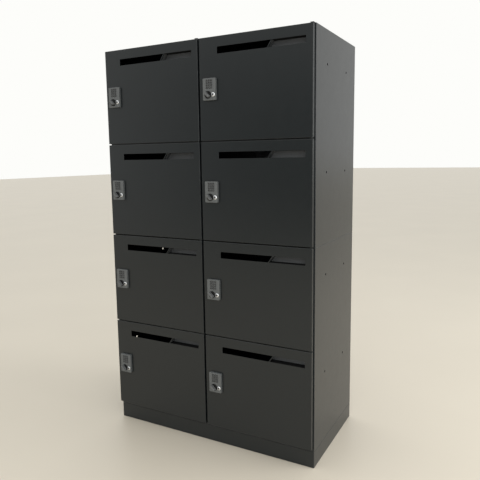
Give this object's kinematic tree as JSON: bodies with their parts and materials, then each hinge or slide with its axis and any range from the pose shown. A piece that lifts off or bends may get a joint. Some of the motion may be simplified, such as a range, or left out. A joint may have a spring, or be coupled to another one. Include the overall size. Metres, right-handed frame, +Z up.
{
  "type": "locker cabinet",
  "caption": "Steel locker cabinet on a plinth: rows of hinged doors in a left and a right column, each with a letter slot, label pocket and keypad knob lock.",
  "frame": {"origin": "centre of the four floor anchor holes, on the underside of the plinth", "axes": "+X to the right as seen from the front, +Y to the back, +Z up; the doors face -Y"},
  "size_m": [0.9, 0.493, 1.573],
  "materials": {
    "door_paint": "fine textured charcoal powder coat",
    "carcass_paint": "fine textured charcoal powder coat",
    "lock_case_grey": "satin mid-grey paint on die cast zinc",
    "key_caps": "matt moulded key caps",
    "knob_plastic": "charcoal moulded plastic with a fine matt grain",
    "bright_nickel": "polished nickel plate",
    "zinc_plated": "bright zinc plate",
    "rubber": "matt"
  },
  "bodies": {
    "cabinet": {"plinth": "carcass_paint", "lower_shell": "carcass_paint", "lower_back_panel": "carcass_paint", "lower_partition": "carcass_paint", "lower_shelf": "carcass_paint", "upper_shell": "carcass_paint", "upper_back_panel": "carcass_paint", "upper_partition": "carcass_paint", "upper_shelf": "carcass_paint", "pivot_brackets": "carcass_paint", "door_bumpers": "rubber", "joining_bolts": "zinc_plated"},
    "swing_left_1": {"door_left_1": "door_paint", "lock_case_left_1": "lock_case_grey"},
    "knob_left_1": {"lock_knob_left_1": "knob_plastic", "latch_cam_left_1": "zinc_plated"},
    "keys_left_1": {"keypad_left_1": "key_caps"},
    "plug_left_1": {"key_plug_left_1": "bright_nickel"},
    "swing_left_2": {"door_left_2": "door_paint", "lock_case_left_2": "lock_case_grey"},
    "knob_left_2": {"lock_knob_left_2": "knob_plastic", "latch_cam_left_2": "zinc_plated"},
    "keys_left_2": {"keypad_left_2": "key_caps"},
    "plug_left_2": {"key_plug_left_2": "bright_nickel"},
    "swing_left_3": {"door_left_3": "door_paint", "lock_case_left_3": "lock_case_grey"},
    "knob_left_3": {"lock_knob_left_3": "knob_plastic", "latch_cam_left_3": "zinc_plated"},
    "keys_left_3": {"keypad_left_3": "key_caps"},
    "plug_left_3": {"key_plug_left_3": "bright_nickel"},
    "swing_left_4": {"door_left_4": "door_paint", "lock_case_left_4": "lock_case_grey"},
    "knob_left_4": {"lock_knob_left_4": "knob_plastic", "latch_cam_left_4": "zinc_plated"},
    "keys_left_4": {"keypad_left_4": "key_caps"},
    "plug_left_4": {"key_plug_left_4": "bright_nickel"},
    "swing_right_1": {"door_right_1": "door_paint", "lock_case_right_1": "lock_case_grey"},
    "knob_right_1": {"lock_knob_right_1": "knob_plastic", "latch_cam_right_1": "zinc_plated"},
    "keys_right_1": {"keypad_right_1": "key_caps"},
    "plug_right_1": {"key_plug_right_1": "bright_nickel"},
    "swing_right_2": {"door_right_2": "door_paint", "lock_case_right_2": "lock_case_grey"},
    "knob_right_2": {"lock_knob_right_2": "knob_plastic", "latch_cam_right_2": "zinc_plated"},
    "keys_right_2": {"keypad_right_2": "key_caps"},
    "plug_right_2": {"key_plug_right_2": "bright_nickel"},
    "swing_right_3": {"door_right_3": "door_paint", "lock_case_right_3": "lock_case_grey"},
    "knob_right_3": {"lock_knob_right_3": "knob_plastic", "latch_cam_right_3": "zinc_plated"},
    "keys_right_3": {"keypad_right_3": "key_caps"},
    "plug_right_3": {"key_plug_right_3": "bright_nickel"},
    "swing_right_4": {"door_right_4": "door_paint", "lock_case_right_4": "lock_case_grey"},
    "knob_right_4": {"lock_knob_right_4": "knob_plastic", "latch_cam_right_4": "zinc_plated"},
    "keys_right_4": {"keypad_right_4": "key_caps"},
    "plug_right_4": {"key_plug_right_4": "bright_nickel"}
  },
  "joints": [
    {"name": "door_swing_left_1", "type": "hinge", "parent": "cabinet", "child": "swing_left_1", "pos_m": [-0.01, -0.237, 1.3855], "axis": [0, 0, 1], "range_deg": [0, 95]},
    {"name": "knob_turn_left_1", "type": "hinge", "parent": "swing_left_1", "child": "knob_left_1", "pos_m": [-0.4055, -0.243, 1.366], "axis": [0, 1, 0], "range_deg": [0, 90]},
    {"name": "key_turn_left_1", "type": "hinge", "parent": "swing_left_1", "child": "plug_left_1", "pos_m": [-0.3835, -0.243, 1.366], "axis": [0, 1, 0], "range_deg": [0, 90]},
    {"name": "keys_press_left_1", "type": "slide", "parent": "swing_left_1", "child": "keys_left_1", "axis": [0, 1, 0], "range_m": [0, 0.001], "stiffness_N_per_m": 400},
    {"name": "door_swing_left_2", "type": "hinge", "parent": "cabinet", "child": "swing_left_2", "pos_m": [-0.01, -0.237, 1.0115], "axis": [0, 0, 1], "range_deg": [0, 95]},
    {"name": "knob_turn_left_2", "type": "hinge", "parent": "swing_left_2", "child": "knob_left_2", "pos_m": [-0.4055, -0.243, 0.992], "axis": [0, 1, 0], "range_deg": [0, 90]},
    {"name": "key_turn_left_2", "type": "hinge", "parent": "swing_left_2", "child": "plug_left_2", "pos_m": [-0.3835, -0.243, 0.992], "axis": [0, 1, 0], "range_deg": [0, 90]},
    {"name": "keys_press_left_2", "type": "slide", "parent": "swing_left_2", "child": "keys_left_2", "axis": [0, 1, 0], "range_m": [0, 0.001], "stiffness_N_per_m": 400},
    {"name": "door_swing_left_3", "type": "hinge", "parent": "cabinet", "child": "swing_left_3", "pos_m": [-0.01, -0.237, 0.6375], "axis": [0, 0, 1], "range_deg": [0, 95]},
    {"name": "knob_turn_left_3", "type": "hinge", "parent": "swing_left_3", "child": "knob_left_3", "pos_m": [-0.4055, -0.243, 0.618], "axis": [0, 1, 0], "range_deg": [0, 90]},
    {"name": "key_turn_left_3", "type": "hinge", "parent": "swing_left_3", "child": "plug_left_3", "pos_m": [-0.3835, -0.243, 0.618], "axis": [0, 1, 0], "range_deg": [0, 90]},
    {"name": "keys_press_left_3", "type": "slide", "parent": "swing_left_3", "child": "keys_left_3", "axis": [0, 1, 0], "range_m": [0, 0.001], "stiffness_N_per_m": 400},
    {"name": "door_swing_left_4", "type": "hinge", "parent": "cabinet", "child": "swing_left_4", "pos_m": [-0.01, -0.237, 0.2635], "axis": [0, 0, 1], "range_deg": [0, 95]},
    {"name": "knob_turn_left_4", "type": "hinge", "parent": "swing_left_4", "child": "knob_left_4", "pos_m": [-0.4055, -0.243, 0.244], "axis": [0, 1, 0], "range_deg": [0, 90]},
    {"name": "key_turn_left_4", "type": "hinge", "parent": "swing_left_4", "child": "plug_left_4", "pos_m": [-0.3835, -0.243, 0.244], "axis": [0, 1, 0], "range_deg": [0, 90]},
    {"name": "keys_press_left_4", "type": "slide", "parent": "swing_left_4", "child": "keys_left_4", "axis": [0, 1, 0], "range_m": [0, 0.001], "stiffness_N_per_m": 400},
    {"name": "door_swing_right_1", "type": "hinge", "parent": "cabinet", "child": "swing_right_1", "pos_m": [0.44, -0.237, 1.3855], "axis": [0, 0, 1], "range_deg": [0, 95]},
    {"name": "knob_turn_right_1", "type": "hinge", "parent": "swing_right_1", "child": "knob_right_1", "pos_m": [0.0445, -0.243, 1.366], "axis": [0, 1, 0], "range_deg": [0, 90]},
    {"name": "key_turn_right_1", "type": "hinge", "parent": "swing_right_1", "child": "plug_right_1", "pos_m": [0.0665, -0.243, 1.366], "axis": [0, 1, 0], "range_deg": [0, 90]},
    {"name": "keys_press_right_1", "type": "slide", "parent": "swing_right_1", "child": "keys_right_1", "axis": [0, 1, 0], "range_m": [0, 0.001], "stiffness_N_per_m": 400},
    {"name": "door_swing_right_2", "type": "hinge", "parent": "cabinet", "child": "swing_right_2", "pos_m": [0.44, -0.237, 1.0115], "axis": [0, 0, 1], "range_deg": [0, 95]},
    {"name": "knob_turn_right_2", "type": "hinge", "parent": "swing_right_2", "child": "knob_right_2", "pos_m": [0.0445, -0.243, 0.992], "axis": [0, 1, 0], "range_deg": [0, 90]},
    {"name": "key_turn_right_2", "type": "hinge", "parent": "swing_right_2", "child": "plug_right_2", "pos_m": [0.0665, -0.243, 0.992], "axis": [0, 1, 0], "range_deg": [0, 90]},
    {"name": "keys_press_right_2", "type": "slide", "parent": "swing_right_2", "child": "keys_right_2", "axis": [0, 1, 0], "range_m": [0, 0.001], "stiffness_N_per_m": 400},
    {"name": "door_swing_right_3", "type": "hinge", "parent": "cabinet", "child": "swing_right_3", "pos_m": [0.44, -0.237, 0.6375], "axis": [0, 0, 1], "range_deg": [0, 95]},
    {"name": "knob_turn_right_3", "type": "hinge", "parent": "swing_right_3", "child": "knob_right_3", "pos_m": [0.0445, -0.243, 0.618], "axis": [0, 1, 0], "range_deg": [0, 90]},
    {"name": "key_turn_right_3", "type": "hinge", "parent": "swing_right_3", "child": "plug_right_3", "pos_m": [0.0665, -0.243, 0.618], "axis": [0, 1, 0], "range_deg": [0, 90]},
    {"name": "keys_press_right_3", "type": "slide", "parent": "swing_right_3", "child": "keys_right_3", "axis": [0, 1, 0], "range_m": [0, 0.001], "stiffness_N_per_m": 400},
    {"name": "door_swing_right_4", "type": "hinge", "parent": "cabinet", "child": "swing_right_4", "pos_m": [0.44, -0.237, 0.2635], "axis": [0, 0, 1], "range_deg": [0, 95]},
    {"name": "knob_turn_right_4", "type": "hinge", "parent": "swing_right_4", "child": "knob_right_4", "pos_m": [0.0445, -0.243, 0.244], "axis": [0, 1, 0], "range_deg": [0, 90]},
    {"name": "key_turn_right_4", "type": "hinge", "parent": "swing_right_4", "child": "plug_right_4", "pos_m": [0.0665, -0.243, 0.244], "axis": [0, 1, 0], "range_deg": [0, 90]},
    {"name": "keys_press_right_4", "type": "slide", "parent": "swing_right_4", "child": "keys_right_4", "axis": [0, 1, 0], "range_m": [0, 0.001], "stiffness_N_per_m": 400}
  ]
}
